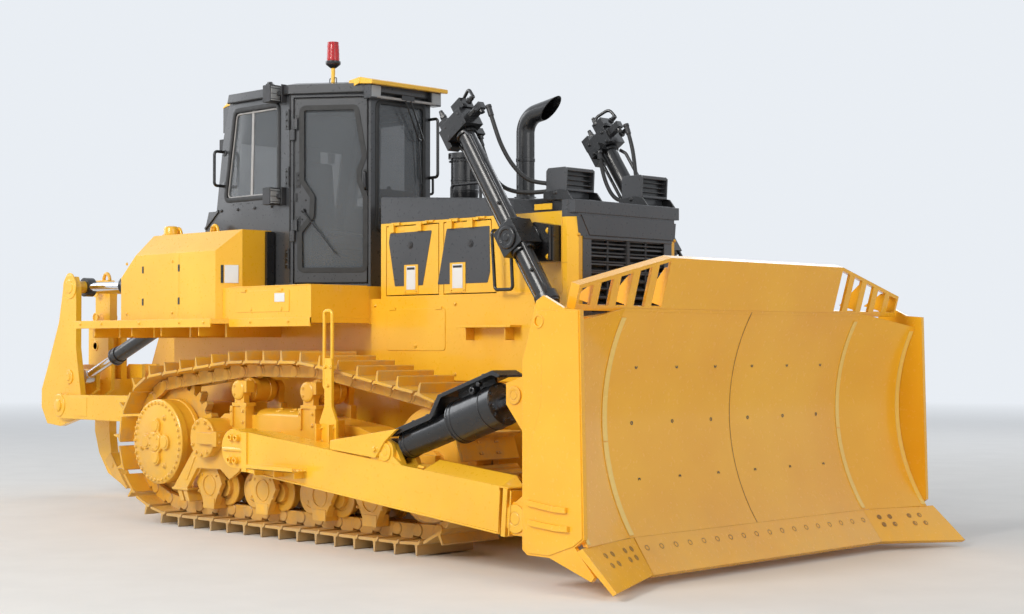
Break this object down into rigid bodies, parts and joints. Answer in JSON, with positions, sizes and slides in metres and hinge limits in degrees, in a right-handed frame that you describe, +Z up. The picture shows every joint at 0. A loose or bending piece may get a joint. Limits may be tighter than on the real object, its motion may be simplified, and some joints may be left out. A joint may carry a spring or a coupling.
{
  "type": "crawler bulldozer with semi-U blade and single-shank ripper",
  "caption": "Crawler bulldozer with enclosed cab, lifting semi-U blade on push arms, parallelogram ripper, opening cab and engine doors.",
  "frame": {"origin": "on the ground under the middle of the overall box", "axes": "+X forward to the blade, +Y to the left, +Z up"},
  "size_m": [8.884, 3.986, 4.075],
  "materials": {
    "yellow_paint": "glossy yellow machine enamel",
    "grey_paint": "satin dark grey enamel",
    "black_paint": "satin black enamel",
    "engine_paint": "matt grey",
    "track_steel": "yellow paint over steel, worn on the running faces",
    "blade_steel": "painted hardened steel",
    "chrome_rod": "polished hard chrome",
    "tinted_glass": "grey tinted safety glass",
    "seat_cover": "woven seat cover",
    "dark_plastic": "grained plastic",
    "red_lens": "red lens",
    "hose_rubber": "hydraulic hose"
  },
  "bodies": {
    "chassis": {"aircon": "grey_paint", "beacon": "red_lens", "cab_glass": "tinted_glass", "cab_roof": "grey_paint", "cab_shell": "grey_paint", "console": "dark_plastic", "engine": "engine_paint", "exhaust": "black_paint", "fenders": "yellow_paint", "final_drives": "yellow_paint", "grab_rails": "black_paint", "grille": "grey_paint", "hood": "yellow_paint", "hood_top": "grey_paint", "hull": "yellow_paint", "idlers": "track_steel", "lift_yokes": "black_paint", "precleaner": "black_paint", "radiator_guard": "yellow_paint", "rollers": "track_steel", "seat": "seat_cover", "side_boxes": "yellow_paint", "side_handles": "yellow_paint", "side_tanks": "yellow_paint", "sprockets": "track_steel", "sun_visor": "yellow_paint", "track_frames": "yellow_paint", "track_left": "track_steel", "track_right": "track_steel", "work_lamps": "black_paint"},
    "push_arms": {"push_arms": "yellow_paint"},
    "blade": {"moldboard": "yellow_paint", "blade_frame": "yellow_paint", "end_plates": "yellow_paint", "cutting_edge": "blade_steel", "end_bits": "blade_steel"},
    "lift_barrels": {"lift_barrels": "black_paint", "lift_hoses": "hose_rubber"},
    "lift_rods": {"lift_rods": "chrome_rod"},
    "tilt_barrels": {"tilt_barrels": "black_paint"},
    "tilt_rods": {"tilt_rods": "chrome_rod"},
    "ripper_arm": {"ripper_arm": "yellow_paint"},
    "ripper_frame": {"ripper_frame": "yellow_paint", "ripper_shank": "yellow_paint"},
    "ripper_tip_cylinders": {"ripper_tip_cylinders": "black_paint"},
    "ripper_lift_barrels": {"ripper_lift_barrels": "black_paint"},
    "ripper_lift_rods": {"ripper_lift_rods": "chrome_rod"},
    "cab_door_right": {"cab_door_right": "grey_paint", "door_glass_right": "tinted_glass"},
    "cab_door_left": {"cab_door_left": "grey_paint", "door_glass_left": "tinted_glass"},
    "engine_door_right_rear": {"engine_door_right_rear": "yellow_paint"},
    "engine_door_right_front": {"engine_door_right_front": "yellow_paint"},
    "engine_door_left_rear": {"engine_door_left_rear": "yellow_paint"},
    "engine_door_left_front": {"engine_door_left_front": "yellow_paint"}
  },
  "joints": [
    {"name": "blade_lift", "type": "hinge", "parent": "chassis", "child": "push_arms", "pos_m": [0.189, 0, 0.72], "axis": [0, -1, 0], "range_deg": [-8, 18]},
    {"name": "blade_pitch", "type": "hinge", "parent": "push_arms", "child": "blade", "pos_m": [3.315, 0, 0.396], "axis": [0, -1, 0], "range_deg": [-5, 5]},
    {"name": "lift_barrel_turn", "type": "hinge", "parent": "chassis", "child": "lift_barrels", "pos_m": [2.444, 0, 2.298], "axis": [0, -1, 0], "range_deg": [-9.44, 21.25], "deforming": ["lift_hoses"]},
    {"name": "lift_rod_slide", "type": "slide", "parent": "lift_barrels", "child": "lift_rods", "axis": [0.5556, 0, -0.8315], "range_m": [-0.8628, 0.3835]},
    {"name": "tilt_barrel_turn", "type": "hinge", "parent": "push_arms", "child": "tilt_barrels", "pos_m": [2.042, 0, 0.79], "axis": [0, -1, 0], "range_deg": [-0.87, 0.87]},
    {"name": "tilt_rod_slide", "type": "slide", "parent": "tilt_barrels", "child": "tilt_rods", "axis": [0.9509, 0, 0.3096], "range_m": [-0.0688, 0.0688]},
    {"name": "ripper_lift", "type": "hinge", "parent": "chassis", "child": "ripper_arm", "pos_m": [-2.33, 0, 0.93], "axis": [0, 1, 0], "range_deg": [-34, 25]},
    {"name": "ripper_frame_turn", "type": "hinge", "parent": "ripper_arm", "child": "ripper_frame", "pos_m": [-3.961, 0, 0.93], "axis": [0, 1, 0], "range_deg": [-25.5, 34.68]},
    {"name": "ripper_tip_turn", "type": "hinge", "parent": "chassis", "child": "ripper_tip_cylinders", "pos_m": [-2.28, 0, 2.1], "axis": [0, 1, 0], "range_deg": [-34.68, 25.5]},
    {"name": "ripper_barrel_turn", "type": "hinge", "parent": "chassis", "child": "ripper_lift_barrels", "pos_m": [-2.33, 0, 1.815], "axis": [0, 1, 0], "range_deg": [-30.34, 22.31]},
    {"name": "ripper_rod_slide", "type": "slide", "parent": "ripper_lift_barrels", "child": "ripper_lift_rods", "axis": [-0.9347, 0, -0.3554], "range_m": [-0.252, 0.3428]},
    {"name": "cab_door_right", "type": "hinge", "parent": "chassis", "child": "cab_door_right", "pos_m": [-0.25283, -0.7302, 2.8], "axis": [0, 0, -1], "range_deg": [0, 100]},
    {"name": "cab_door_left", "type": "hinge", "parent": "chassis", "child": "cab_door_left", "pos_m": [-0.25283, 0.7302, 2.8], "axis": [0, 0, 1], "range_deg": [0, 100]},
    {"name": "engine_door_right_rear", "type": "hinge", "parent": "chassis", "child": "engine_door_right_rear", "pos_m": [0.72, -0.566, 2.482], "axis": [-1, 0, 0], "range_deg": [0, 70]},
    {"name": "engine_door_right_front", "type": "hinge", "parent": "chassis", "child": "engine_door_right_front", "pos_m": [1.395, -0.566, 2.482], "axis": [-1, 0, 0], "range_deg": [0, 70]},
    {"name": "engine_door_left_rear", "type": "hinge", "parent": "chassis", "child": "engine_door_left_rear", "pos_m": [0.72, 0.566, 2.482], "axis": [1, 0, 0], "range_deg": [0, 70]},
    {"name": "engine_door_left_front", "type": "hinge", "parent": "chassis", "child": "engine_door_left_front", "pos_m": [1.395, 0.566, 2.482], "axis": [1, 0, 0], "range_deg": [0, 70]}
  ],
  "couplings": [
    {"joint": "lift_barrel_turn", "follows": "blade_lift", "ratio": 1.1572},
    {"joint": "lift_rod_slide", "follows": "blade_lift", "m_per_rad": -2.6926},
    {"joint": "tilt_barrel_turn", "follows": "blade_pitch", "ratio": 0.1713},
    {"joint": "tilt_rod_slide", "follows": "blade_pitch", "m_per_rad": -0.7731},
    {"joint": "ripper_frame_turn", "follows": "ripper_lift", "ratio": -1},
    {"joint": "ripper_tip_turn", "follows": "ripper_lift", "ratio": 1},
    {"joint": "ripper_barrel_turn", "follows": "ripper_lift", "ratio": 0.875},
    {"joint": "ripper_rod_slide", "follows": "ripper_lift", "m_per_rad": -0.5663}
  ]
}
